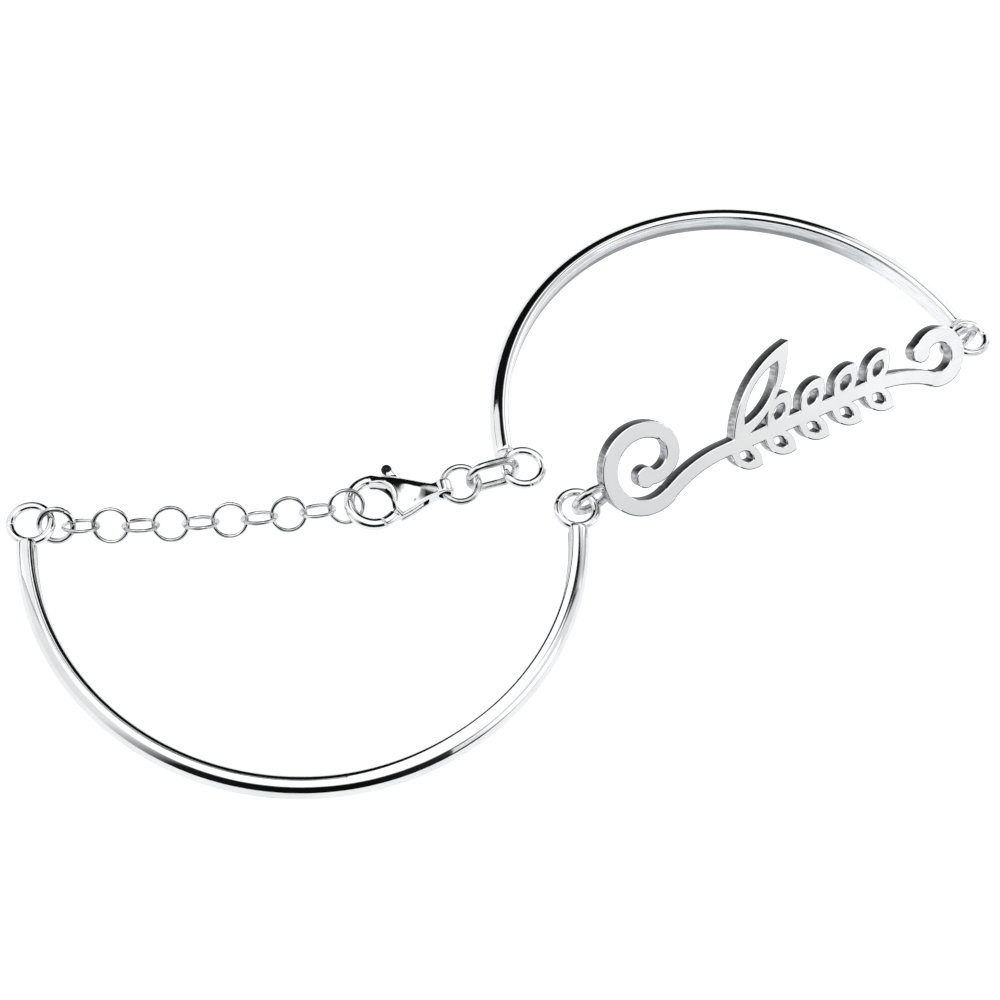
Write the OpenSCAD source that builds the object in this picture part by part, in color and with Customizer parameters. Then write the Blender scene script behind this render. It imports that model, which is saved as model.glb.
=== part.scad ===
// Bracelet with two half bangles, a pierced scroll plate between them and a short chain
// with a lobster clasp. It lies closed on a table, with +Z up and z = 0 on the table.

/* [Half bangles] */
// Radius of the flat face that lies against the wrist
inner_r = 20; // [17:0.5:23]
// Height of the half-round bar
bar_h = 2; // [1.7:0.05:2.1]
// Thickness of the bar, from its flat face to its crown
bar_t = 1.5; // [1.45:0.05:1.8]
// Radius of the bar's two edges beside its flat face
bar_edge_r = 0.4; // [0.3:0.05:0.44]
// Angle that the half bangle beside the chain covers
lower_span = 176; // [165:1:180]
// Angle that the half bangle beside the plate covers
upper_span = 160; // [150:1:165]
// Direction that the middle of the lower half bangle faces
lower_facing = -76.4; // [-85:0.5:-68]

/* [Rings soldered on the half bangles] */
// Outer diameter of an end ring
end_ring_d = 3.7; // [3.5:0.05:3.9]
// Wire of an end ring
end_ring_wire = 0.7; // [0.6:0.05:0.75]
// Height of an end ring's middle above the table
end_ring_z = 1.25; // [1.15:0.05:1.3]
// Depth that an end ring is let into the end of the bar
solder_depth = 0.3; // [0.25:0.05:0.35]
// How far the ring beside the clasp sits in from the middle of the bar
clasp_ring_inset = 1.2; // [0.8:0.05:1.3]
// How far the ring beside the chain sits in from the middle of the bar
chain_end_inset = 0.3; // [0:0.05:0.4]

/* [Scroll plate] */
// Distance between the middles of the two rings on the plate
plate_reach = 35.3; // [33:0.1:38]
// Thickness of the plate
plate_t = 1.2; // [1:0.05:1.4]
// Slope of the plate from the table
plate_slope = 45; // [43:0.5:47]
// Outer radius of the large volute
volute_r = 3.75; // [3.5:0.05:4]
// Outer radius of the small volute
end_volute_r = 2.5; // [2.3:0.05:2.6]
// Width of the volutes' band
volute_w = 1.3; // [1.25:0.05:1.4]
// Radius of the buttons that end the volutes
button_r = 0.85; // [0.75:0.05:0.95]
// Width of the stem and of the large volute's inner curl
stem_w = 1.15; // [1:0.05:1.2]
// Height of the tall leaf above the line through the rings
tall_rise = 5.5; // [5:0.1:6]
// Width of the tall leaf
tall_w = 2.9; // [2.6:0.1:3]
// Height of the low leaves above the line through the rings
low_rise = 1.5; // [1.3:0.1:1.6]
// Width of a low leaf
low_w = 2; // [1.8:0.1:2.1]
// Distance from one low leaf to the next
leaf_pitch = 3.2; // [3.1:0.05:3.3]
// Lean of the leaves from the stem
leaf_lean = 43; // [41:0.5:46]
// Width of the band on each side of a leaf's slit
leaf_band = 0.6; // [0.55:0.05:0.65]
// Radius of a leaf's tip
tip_r = 0.3; // [0.25:0.05:0.35]
// Outer diameter of a ring on the plate
plate_ring_d = 3.6; // [3.5:0.05:3.7]
// Wire of a ring on the plate
plate_ring_wire = 0.7; // [0.6:0.05:0.7]
// Gap under a plate ring
plate_ring_lift = 0.05; // [0.03:0.01:0.08]
// Angle at which the wire of a plate ring meets the plate
plate_ring_rise = 45; // [42:1:48]
// Depth that the wire of a plate ring is let into the plate's edge
plate_solder = 0.3; // [0.25:0.05:0.4]
// Slack of a plate ring in its end ring
plate_slack = 1; // [0.8:0.05:1.1]

/* [Chain] */
// Outer diameter of a chain link
link_d = 2.9; // [2.85:0.05:3.1]
// Wire of a chain link
link_wire = 0.32; // [0.28:0.01:0.33]
// Outer diameter of the thicker ring at the end of the chain
chain_ring_d = 2.95; // [2.8:0.05:3.1]
// Wire of that ring
chain_ring_wire = 0.45; // [0.4:0.01:0.5]
// Roll of the links that show their faces
face_roll = 47; // [44:1:50]
// Slack from one link to the next
link_slack = 0.05; // [0.04:0.01:0.1]
// Slack on each side of the thicker ring at the end of the chain
chain_ring_slack = 0.35; // [0.2:0.05:0.5]
// How much the chain and the clasp bend to the left along their run
run_bend = 20; // [16:1:24]
// Distance that the half bangles' inner ends keep as the loop lies closed
pinch = 4; // [3.9:0.1:6]

/* [Clasp] */
// Radius of the claw's middle line
claw_r = 1.9; // [1.85:0.05:1.95]
// Thickness of the claw
claw_t = 0.94; // [0.9:0.01:0.96]
// Distance from the middle of the tail eye to the middle of the claw
claw_reach = 5.5; // [5.45:0.05:5.6]
// Thickness of the clasp's body
clasp_t = 1.9; // [1.8:0.05:2]
// Radius of the dome over each side of the clasp's body
dome_r = 10; // [9:0.5:14]
// Width of the clasp's body at the cheeks
clasp_w = 3.74; // [3.7:0.02:3.8]
// Width of the slot for the lever
slot_w = 0.66; // [0.6:0.02:0.7]
// Gap on each side of the lever in its slot
slot_play = 0.06; // [0.04:0.01:0.08]
// Bore of the tail eye
eye_bore = 0.95; // [0.9:0.01:1]
// Wall round the tail eye
eye_wall = 0.33; // [0.3:0.01:0.36]
// Length of the tail eye's bore
eye_l = 1.1; // [1:0.05:1.2]
// Diameter of the lever's pin
pin_d = 0.5; // [0.45:0.01:0.55]
// Running gap round the pin in the lever
pin_play = 0.04; // [0.02:0.01:0.06]
// Gap round the pin in the cheeks
pin_seat = 0.01; // [0.01:0.005:0.02]
// Width of the lever's arm at the thumb knob
arm_w = 0.45; // [0.4:0.05:0.5]
// Diameter of the thumb knob
knob_d = 0.85; // [0.8:0.05:0.9]
// Slack of the last link in the claw
claw_slack = 0.4; // [0.35:0.05:0.5]
// Gap between the lever's gate and the tip of the claw
gate_gap = 0.08; // [0.06:0.01:0.1]

/* [Rings beside the clasp] */
// Outer diameter of the ring in the clasp's eye
swivel_d = 3.36; // [3.3:0.02:3.46]
// Wire of the ring in the clasp's eye
swivel_wire = 0.52; // [0.48:0.01:0.54]
// Roll of the ring in the clasp's eye
swivel_roll = 8; // [5:1:10]
// Pitch of the ring in the clasp's eye, up towards the oval ring
swivel_pitch = 8; // [6:1:10]
// Length of the heavy oval ring
oval_l = 4.45; // [4.4:0.05:4.6]
// Height of the heavy oval ring
oval_h = 3.1; // [3:0.05:3.3]
// Wire of the heavy oval ring
oval_wire = 0.65; // [0.6:0.01:0.68]
// Roll of the heavy oval ring
oval_roll = 78; // [75:1:81]
// Slack of the heavy oval ring in the ring on each side of it
oval_slack = 0.15; // [0.1:0.05:0.3]

/* [Hidden] */
$fn = 96;
ring_fn = 48;
wire_fn = 24;
link_count = 10;
function link_name(i) = str("chain_link_", i < 10 ? "0" : "", i);
silver = "#d9dcde";
cut = 1;

function polar(r, a) = [r * cos(a), r * sin(a)];
function heading(v) = atan2(v[1], v[0]);
function turned(v, a) = [v[0] * cos(a) - v[1] * sin(a), v[0] * sin(a) + v[1] * cos(a)];

// Half bangles, each measured from its own centre
bar_mid = inner_r + bar_t / 2;
end_reach = end_ring_d / 2 - solder_depth;
end_step = end_reach / bar_mid * 180 / PI;
function end_ring(a, side, inset) = polar(bar_mid - inset, a + side * end_step);

lower_from = lower_facing - lower_span / 2;
lower_to = lower_facing + lower_span / 2;
lower_plate_end = end_ring(lower_to, 1, 0);
lower_chain_end = end_ring(lower_from, -1, chain_end_inset);

upper_from = 90 - upper_span / 2;
upper_to = 90 + upper_span / 2;
upper_plate_local = end_ring(upper_from, -1, 0);
upper_clasp_local = end_ring(upper_to, 1, clasp_ring_inset);

// The plate hangs between two end rings
function bore_r(d, wire) = d / 2 - wire;
end_ring_bore = bore_r(end_ring_d, end_ring_wire);
plate_hang = bore_r(plate_ring_d, plate_ring_wire) + end_ring_bore - plate_slack;

// Run of the chain, from the lower half bangle's ring to the upper one's, along one arc
link_bore = bore_r(link_d, link_wire);
chain_ring_bore = bore_r(chain_ring_d, chain_ring_wire);
swivel_bore = bore_r(swivel_d, swivel_wire);
oval_bore = bore_r(oval_l, oval_wire);
link_pitch = 2 * link_bore - link_slack;
hang_chain = end_ring_bore + chain_ring_bore - chain_ring_slack;
hang_link = chain_ring_bore + link_bore - chain_ring_slack;
hang_claw = claw_reach + claw_r - claw_t / 2 + link_bore - claw_slack;
swivel_mid = (swivel_d - swivel_wire) / 2;
hang_swivel = swivel_mid - eye_l * eye_l / (16 * swivel_mid);
hang_oval = swivel_bore + oval_bore - oval_slack;
hang_end = oval_bore + end_ring_bore - oval_slack;
s_chain_ring = hang_chain;
s_link_1 = s_chain_ring + hang_link;
s_link_last = s_link_1 + (link_count - 1) * link_pitch;
s_eye = s_link_last + hang_claw;
s_swivel = s_eye + hang_swivel;
s_oval = s_swivel + hang_oval;
run_l = s_oval + hang_end;
run_r = run_l / run_bend * 180 / PI;
run_chord = 2 * run_r * sin(run_bend / 2);

// The two half bangles, the plate and the run close into one loop of four sides, which is
// pinched so that the half bangles' inner ends lie close together
function meet(p, rp, q, rq, side) =
    let (d = norm(q - p), x = (d * d + rp * rp - rq * rq) / (2 * d), y = sqrt(rp * rp - x * x))
    p + turned([x, side * y], heading(q - p));
lower_chord = norm(lower_plate_end - lower_chain_end);
upper_v = upper_clasp_local - upper_plate_local;
upper_chord = norm(upper_v);
plate_chord = plate_reach + 2 * plate_hang;
waist = norm([pinch, max(abs(lower_chord - run_chord), abs(upper_chord - plate_chord))]);
upper_clasp_end = meet(lower_chain_end, run_chord, lower_plate_end, waist, 1);
upper_plate_end = meet(lower_plate_end, plate_chord, upper_clasp_end, upper_chord, -1);
plate_heading = heading(upper_plate_end - lower_plate_end);
upper_turn = heading(upper_clasp_end - upper_plate_end) - heading(upper_v);
upper_centre = upper_plate_end - turned(upper_plate_local, upper_turn);

run_heading = heading(upper_clasp_end - lower_chain_end) - run_bend / 2;
function run_a(s) = run_heading + run_bend * s / run_l;
function run_at(s) = lower_chain_end
    + run_r * [sin(run_a(s)) - sin(run_heading), cos(run_heading) - cos(run_a(s))];

// The origin is in the middle of the part's outline, on the table
x_left = lower_chain_end[0] - end_ring_d / 2;
x_right = upper_plate_end[0] + end_ring_d / 2;
y_front = -(inner_r + bar_t);
y_back = upper_centre[1] + inner_r + bar_t;
middle = [(x_left + x_right) / 2, (y_front + y_back) / 2, 0];

// Height at which a round ring with this roll rests on the table
function rest_z(d, wire, roll) = (d - wire) / 2 * abs(sin(roll)) + wire / 2;

module ring(d, wire) {
    rotate_extrude($fn = ring_fn) translate([(d - wire) / 2, 0]) circle(d = wire, $fn = wire_fn);
}

module ring_at(s, d, wire, roll, z) {
    translate([run_at(s)[0], run_at(s)[1], z]) rotate([roll, 0, run_a(s)]) ring(d, wire);
}

module bar(from, to) {
    crown_r = bar_h / 2;
    edge_y = crown_r - bar_edge_r;
    rotate([0, 0, from]) rotate_extrude(angle = to - from) translate([inner_r, crown_r]) {
        intersection() {
            translate([bar_t - crown_r, 0]) circle(r = crown_r, $fn = wire_fn);
            translate([bar_edge_r, -crown_r]) square([bar_t - bar_edge_r, bar_h]);
        }
        translate([0, -edge_y]) square([bar_t - crown_r, 2 * edge_y]);
        translate([bar_edge_r, -crown_r]) square([bar_t - crown_r - bar_edge_r, bar_h]);
        for (side = [-1, 1]) translate([bar_edge_r, side * edge_y]) circle(r = bar_edge_r, $fn = wire_fn);
    }
}

module end_ring_at(p) {
    translate([p[0], p[1], end_ring_z]) ring(end_ring_d, end_ring_wire);
}

module lower_bangle() {
    color(silver) translate(-middle) {
        bar(lower_from, lower_to);
        end_ring_at(lower_plate_end);
        end_ring_at(lower_chain_end);
    }
}

module upper_bangle() {
    color(silver) translate([upper_centre[0], upper_centre[1], 0] - middle) rotate([0, 0, upper_turn]) {
        bar(upper_from, upper_to);
        end_ring_at(upper_plate_local);
        end_ring_at(upper_clasp_local);
    }
}

// Where the wires of the plate's rings meet its edge, and the plate's depth below that line,
// at which its foot stands on the table
plate_ring_z = plate_ring_d / 2 + plate_ring_lift;
plate_ring_mid = (plate_ring_d - plate_ring_wire) / 2;
plate_attach_x = plate_ring_mid * cos(plate_ring_rise);
plate_attach_z = plate_ring_z + plate_ring_mid * sin(plate_ring_rise);
plate_l = plate_reach - 2 * plate_attach_x;
plate_drop = (plate_attach_z - plate_t / 2 * cos(plate_slope)) / sin(plate_slope);

// Bands, buttons, bars and leaves of the plate, drawn flat about its middle plane
module band(c, mid, w, from, to) {
    translate(c) rotate([0, 0, from]) rotate_extrude(angle = to - from)
        translate([mid - w / 2, -plate_t / 2]) square([w, plate_t]);
}

module button(c) {
    translate(c) cylinder(r = button_r, h = plate_t, center = true);
}

module lens(l, w, h) {
    r = (l * l / 4 + w * w / 4) / w;
    intersection() {
        translate([l / 2, r - w / 2, 0]) cylinder(r = r, h = h, center = true);
        translate([l / 2, w / 2 - r, 0]) cylinder(r = r, h = h, center = true);
    }
}

module leaf(foot, tip_y, w) {
    side = tip_y > foot[1] ? 0 : 1;
    l = abs(tip_y - foot[1]) / sin(leaf_lean);
    inset = leaf_band * l / w;
    translate(foot) mirror([0, side, 0]) rotate([0, 0, leaf_lean]) difference() {
        union() {
            lens(l, w, plate_t);
            translate([l - tip_r * l / w, 0, 0]) cylinder(r = tip_r, h = plate_t, center = true);
        }
        translate([inset, 0, 0]) lens(l - 2 * inset, w - 2 * leaf_band, plate_t + cut);
    }
}

// The large volute curls in with a second arc, whose middle radius is this share of the first's
curl_share = 0.6;
curl_open = 50;
curl_turn = 170;
end_curl_to = 148;
// The stem swings up from the large volute, runs straight and swings down to the small one
swing = 30;
// Places along the plate, as shares of its length
tall_place = 0.335;
upper_place = 0.435;
lower_place = 0.325;
upper_leaves = 4;
lower_leaves = 5;
// The lower leaves end this far above the foot, because their round side dips below the tip
tip_lift = 0.12;
// The narrower strips run this far into the wider bands
strip_overlap = 0.4;

module scroll() {
    volute_c = [volute_r - plate_solder, volute_r - plate_drop];
    volute_mid = volute_r - volute_w / 2;
    curl_mid = volute_mid * curl_share;
    curl_c = volute_c + polar(volute_mid - curl_mid, curl_open);
    band(volute_c, volute_mid, volute_w, curl_open, 270 + swing);
    band(curl_c, curl_mid, stem_w, curl_open - curl_turn, curl_open + strip_overlap / curl_mid * 180 / PI);
    button(curl_c + polar(curl_mid, curl_open - curl_turn));

    end_y = end_volute_r - plate_drop;
    end_c = [plate_l - sqrt(pow(end_volute_r - plate_solder, 2) - end_y * end_y), end_y];
    end_mid = end_volute_r - volute_w / 2;
    band(end_c, end_mid, volute_w, -90 - swing, end_curl_to);
    button(end_c + polar(end_mid, end_curl_to));

    stem_y = end_y;
    rise_at = volute_c + polar(volute_mid, 270 + swing);
    rise_r = (stem_y - rise_at[1]) / (1 - cos(swing));
    rise_c = [rise_at[0] + rise_r * sin(swing), stem_y - rise_r];
    fall_at = end_c + polar(end_mid, -90 - swing);
    fall_r = (stem_y - fall_at[1]) / (1 - cos(swing));
    fall_c = [fall_at[0] - fall_r * sin(swing), stem_y - fall_r];
    band(rise_c, rise_r, stem_w, 90, 90 + swing + strip_overlap / rise_r * 180 / PI);
    band(fall_c, fall_r, stem_w, 90 - swing - strip_overlap / fall_r * 180 / PI, 90);
    translate([rise_c[0], stem_y - stem_w / 2, -plate_t / 2]) cube([fall_c[0] - rise_c[0], stem_w, plate_t]);

    leaf([plate_l * tall_place, stem_y], tall_rise, tall_w);
    for (i = [0:upper_leaves - 1]) leaf([plate_l * upper_place + i * leaf_pitch, stem_y], low_rise, low_w);
    for (i = [0:lower_leaves - 1]) leaf([plate_l * lower_place + i * leaf_pitch, stem_y], tip_lift - plate_drop, low_w);
}

module plate_ring_at(x) {
    translate([x, 0, plate_ring_z]) rotate([90, 0, 0]) ring(plate_ring_d, plate_ring_wire);
}

module nameplate() {
    color(silver) translate([lower_plate_end[0], lower_plate_end[1], 0] - middle)
        rotate([0, 0, plate_heading]) translate([plate_hang, 0, 0]) {
            plate_ring_at(0);
            plate_ring_at(plate_reach);
            translate([plate_attach_x, 0, plate_attach_z]) rotate([plate_slope, 0, 0]) scroll();
        }
}

// The clasp is drawn with its eye at the origin, the claw towards -X and the gate towards -Y.
// Its points are shares of the reach towards the claw and of the width towards the knob's side.
function clasp_at(p) = [-claw_reach * p[0], clasp_w * p[1]];
claw_c = clasp_at([1, -0.005]);
pivot = clasp_at([0.519, -0.2]);
knob_at = clasp_at([0.713, 0.69]);
dome_at = clasp_at([0.545, 0.053]);
// Guides for the body's two long sides, from the eye to the claw and from the gate to the eye.
// Columns: share of the reach, share of the width
far_guides = [[0.055, 0.12], [0.4, 0.24], [0.672, 0.55], [1, 0.585]];
near_guides = [[0.666, -0.475], [0.472, -0.401], [0.273, -0.2], [0.055, -0.134]];
cheek_points = [[0.735, -0.134], [0.727, -0.307]];
lever_outline = [[0.324, -0.258], [0.523, -0.396], [0.664, -0.468], [0.82, -0.545], [0.86, -0.41], [0.609, -0.094]];
lever_back = [0.412, -0.067];
slot_ends = [0.245, 0.79];
side_steps = 16;
// One point of the curve that a row of guides pulls along
function pulled(p, t) = len(p) == 1 ? p[0] : pulled([for (i = [1:len(p) - 1]) p[i - 1] + t * (p[i] - p[i - 1])], t);
function side_curve(p) = [for (i = [0:side_steps]) pulled(p, i / side_steps)];
clasp_z = clasp_t / 2;
claw_root = 70;
claw_tip = 281;
gate_to = 314;
// The gate's end turns within this distance of the pivot, and the claw's tip is cut just outside it
gate_r = norm(claw_c + polar(claw_r, claw_tip) - pivot);
tip_overlap = 15;
lever_t = slot_w - 2 * slot_play;

module clasp_frame() {
    translate([run_at(s_eye)[0], run_at(s_eye)[1], clasp_z] - middle)
        rotate([0, 0, run_a(s_eye - hang_claw / 2)]) children();
}

module claw_arc(from, to) {
    translate(claw_c) rotate([0, 0, from]) rotate_extrude(angle = to - from)
        translate([claw_r, 0]) circle(d = claw_t, $fn = wire_fn);
}

module dome_side(side) {
    translate([dome_at[0], dome_at[1], side * (dome_r - clasp_z)]) sphere(r = dome_r);
}

module dome() {
    intersection() {
        dome_side(1);
        dome_side(-1);
    }
}

module body_outline() {
    polygon(concat(
        side_curve([for (p = far_guides) clasp_at(p)]), [claw_c], [for (p = cheek_points) clasp_at(p)],
        side_curve([for (p = near_guides) clasp_at(p)])));
}

module clasp_body() {
    color(silver) clasp_frame() {
        difference() {
            claw_arc(claw_root, claw_tip + tip_overlap);
            intersection() {
                translate(pivot) cylinder(r = gate_r + gate_gap, h = clasp_t, center = true);
                translate([claw_c[0] - claw_reach, claw_c[1] - clasp_w, -clasp_t])
                    cube([2 * claw_reach, clasp_w, 2 * clasp_t]);
            }
        }
        difference() {
            union() {
                intersection() {
                    linear_extrude(clasp_t, center = true) body_outline();
                    dome();
                }
                rotate([90, 0, 0]) cylinder(d = eye_bore + 2 * eye_wall, h = eye_l, center = true);
            }
            rotate([90, 0, 0]) cylinder(d = eye_bore, h = eye_l + cut, center = true);
            translate(claw_c) cylinder(r = claw_r - claw_t / 2, h = clasp_t + cut, center = true);
            translate([-claw_reach * slot_ends[1], -clasp_w, -slot_w / 2])
                cube([claw_reach * (slot_ends[1] - slot_ends[0]), 2 * clasp_w, slot_w]);
            translate(pivot) cylinder(d = pin_d + 2 * pin_seat, h = clasp_t + cut, center = true);
        }
    }
}

module clasp_lever() {
    color(silver) clasp_frame() {
        intersection() {
            claw_arc(claw_tip - tip_overlap, gate_to);
            translate(pivot) cylinder(r = gate_r, h = clasp_t, center = true);
        }
        difference() {
            linear_extrude(lever_t, center = true)
                polygon(concat([for (p = lever_outline) clasp_at(p)],
                    [knob_at - [arm_w / 2, 0], knob_at + [arm_w / 2, 0], clasp_at(lever_back)]));
            translate(pivot) cylinder(d = pin_d + 2 * pin_play, h = clasp_t, center = true);
        }
        translate(knob_at) sphere(d = knob_d, $fn = wire_fn);
    }
}

module clasp_pin() {
    color(silver) clasp_frame() intersection() {
        translate(pivot) cylinder(d = pin_d, h = clasp_t, center = true);
        dome();
    }
}

module swivel_ring() {
    color(silver) translate([run_at(s_swivel)[0], run_at(s_swivel)[1], clasp_z + swivel_mid * sin(swivel_pitch)] - middle)
        rotate([swivel_roll, -swivel_pitch, run_a(s_swivel)]) ring(swivel_d, swivel_wire);
}

module oval_ring() {
    end_r = (oval_h - oval_wire) / 2;
    half = (oval_l - oval_h) / 2;
    color(silver) translate([run_at(s_oval)[0], run_at(s_oval)[1], end_r * sin(oval_roll) + oval_wire / 2] - middle)
        rotate([oval_roll, 0, run_a(s_oval)]) {
            for (s = [-1, 1]) translate([s * half, 0, 0]) rotate([0, 0, -s * 90])
                rotate_extrude(angle = 180) translate([end_r, 0]) circle(d = oval_wire, $fn = wire_fn);
            for (s = [-1, 1]) translate([0, s * end_r, 0]) rotate([0, 90, 0])
                cylinder(d = oval_wire, h = 2 * half, center = true);
        }
}

module chain_ring() {
    color(silver) translate(-middle)
        ring_at(s_chain_ring, chain_ring_d, chain_ring_wire, face_roll,
                rest_z(chain_ring_d, chain_ring_wire, face_roll));
}

module chain_link(i) {
    roll = i % 2 == 0 ? face_roll : face_roll - 90;
    color(silver) translate(-middle)
        ring_at(s_link_1 + (i - 1) * link_pitch, link_d, link_wire, roll, rest_z(link_d, link_wire, roll));
}

lower_bangle();
upper_bangle();
nameplate();
clasp_body();
clasp_lever();
clasp_pin();
swivel_ring();
oval_ring();
chain_ring();
for (i = [1:link_count]) chain_link(i);
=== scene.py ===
import math

import bmesh
import bpy
from mathutils import Matrix, Vector


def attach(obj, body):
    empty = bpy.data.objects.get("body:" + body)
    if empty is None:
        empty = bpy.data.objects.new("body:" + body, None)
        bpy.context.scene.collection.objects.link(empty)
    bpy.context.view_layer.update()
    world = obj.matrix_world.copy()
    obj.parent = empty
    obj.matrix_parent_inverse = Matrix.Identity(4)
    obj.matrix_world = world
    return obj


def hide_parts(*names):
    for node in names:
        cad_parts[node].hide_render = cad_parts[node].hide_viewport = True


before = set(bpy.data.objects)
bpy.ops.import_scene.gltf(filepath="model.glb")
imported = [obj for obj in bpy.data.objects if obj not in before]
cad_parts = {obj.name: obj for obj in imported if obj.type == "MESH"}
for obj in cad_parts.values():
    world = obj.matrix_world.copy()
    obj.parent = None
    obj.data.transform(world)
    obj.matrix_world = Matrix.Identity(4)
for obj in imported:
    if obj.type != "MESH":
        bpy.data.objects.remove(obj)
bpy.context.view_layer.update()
mm = 0.001
print("stage: frame loaded")


# Small helpers for node trees and pieces

def newGroup(name, kind, inputs, outputs):
    tree = bpy.data.node_groups.new(name, kind)
    for title, socket, value in inputs:
        made = tree.interface.new_socket(name=title, in_out="INPUT", socket_type="NodeSocket" + socket)
        if value is not None:
            made.default_value = value
    for title, socket in outputs:
        tree.interface.new_socket(name=title, in_out="OUTPUT", socket_type="NodeSocket" + socket)
    return tree, tree.nodes.new("NodeGroupInput").outputs, tree.nodes.new("NodeGroupOutput").inputs


def put(tree, kind, links=None, **props):
    node = tree.nodes.new(kind)
    for key, value in props.items():
        setattr(node, key, value)
    for key, value in (links or {}).items():
        if isinstance(value, bpy.types.NodeSocket):
            tree.links.new(value, node.inputs[key])
        else:
            node.inputs[key].default_value = value
    return node


def calc(tree, operation, *values):
    return put(tree, "ShaderNodeMath", dict(enumerate(values)), operation=operation).outputs[0]


def vectorCalc(tree, operation, first, second):
    kind = "Value" if operation == "DOT_PRODUCT" else "Vector"
    return put(tree, "ShaderNodeVectorMath", {0: first, 1: second}, operation=operation).outputs[kind]


def remap(tree, value, source, target=(0.0, 1.0), soft=False):
    return put(tree, "ShaderNodeMapRange", {
        "Value": value, "From Min": source[0], "From Max": source[1], "To Min": target[0], "To Max": target[1]},
        interpolation_type="SMOOTHSTEP" if soft else "LINEAR").outputs[0]


def addObject(name, data):
    made = bpy.data.objects.new(name, data)
    bpy.context.scene.collection.objects.link(made)
    return made


def bakeModifiers(helper, name):
    graph = bpy.context.evaluated_depsgraph_get()
    graph.update()
    mesh = bpy.data.meshes.new_from_object(helper.evaluated_get(graph))
    mesh.name = name
    old = helper.data
    bpy.data.objects.remove(helper)
    if old.users == 0:
        bpy.data.meshes.remove(old)
    return addObject(name, mesh)


def runNodes(name, tree, values):
    helper = addObject(name + "Maker", bpy.data.meshes.new(name + "Maker"))
    modifier = helper.modifiers.new("rule", "NODES")
    modifier.node_group = tree
    names = {item.name: item.identifier for item in tree.interface.items_tree if item.in_out == "INPUT"}
    for title, value in values.items():
        modifier[names[title]] = value
    return bakeModifiers(helper, name)


def ease(value, low, high):
    t = min(1.0, max(0.0, (value - low) / (high - low)))
    return t * t * (3 - 2 * t)


def finishPiece(piece, body, nodes):
    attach(piece, body)
    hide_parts(*nodes)


# Silver: fine grain, stretched where it was brushed, under a wider haze

surfaceOutputs = [("Color", "Color"), ("Roughness", "Float"), ("Height", "Float")]


def endSurface(tree, end, colour, rough, height):
    for title, socket in (("Color", colour), ("Roughness", rough), ("Height", height)):
        tree.links.new(socket, end[title])
    return tree


silverLook = dict(grainDetail=4.0, grainMix=0.6, hazeDetail=3.0, roughRange=(0.12, 0.42), dullRange=(0.35, 0.7))


def silverEffects():
    tree, inp, end = newGroup("silverEffects", "ShaderNodeTree", [
        ("Grain Size", "Float", 900.0), ("Grain Stretch", "Float", 12.0),
        ("Rough Low", "Float", 0.04), ("Rough High", "Float", 0.12), ("Haze Size", "Float", 260.0),
        ("Clean Color", "Color", (0.95, 0.955, 0.96, 1)), ("Dull Color", "Color", (0.86, 0.87, 0.885, 1))],
        surfaceOutputs)
    place = put(tree, "ShaderNodeTexCoord").outputs["Object"]
    stretch = put(tree, "ShaderNodeCombineXYZ", {0: 1.0, 1: 1.0, 2: inp["Grain Stretch"]}).outputs[0]
    grain = put(tree, "ShaderNodeTexNoise", {
        "Vector": vectorCalc(tree, "MULTIPLY", place, stretch), "Scale": inp["Grain Size"],
        "Detail": silverLook["grainDetail"], "Roughness": silverLook["grainMix"]}).outputs[0]
    haze = put(tree, "ShaderNodeTexNoise", {
        "Vector": place, "Scale": inp["Haze Size"], "Detail": silverLook["hazeDetail"]}).outputs[0]
    rough = remap(tree, calc(tree, "MULTIPLY", grain, haze), silverLook["roughRange"],
                  (inp["Rough Low"], inp["Rough High"]))
    dull = remap(tree, haze, silverLook["dullRange"])
    colour = put(tree, "ShaderNodeMix", {"Factor": dull, 6: inp["Clean Color"], 7: inp["Dull Color"]},
                 data_type="RGBA")
    return endSurface(tree, end, colour.outputs[2], rough, grain)


def coolGrey(tree, tone, green, blue):  # a grey that leans a little to blue
    return put(tree, "ShaderNodeCombineColor", {
        0: tone, 1: calc(tree, "MULTIPLY", tone, green), 2: calc(tree, "MULTIPLY", tone, blue)}).outputs[0]


# Cut walls of the plate: painted shade, darker where they face up the slope, with marks of the saw through the
# thickness

cutMarksShadeLook = dict(markDetail=3.0, riseRange=(0.4, 0.85), markRange=(0.35, 0.65), markTone=(0.55, 1.25),
               rough=(0.22, 0.5), green=1.02, blue=1.05)


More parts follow.
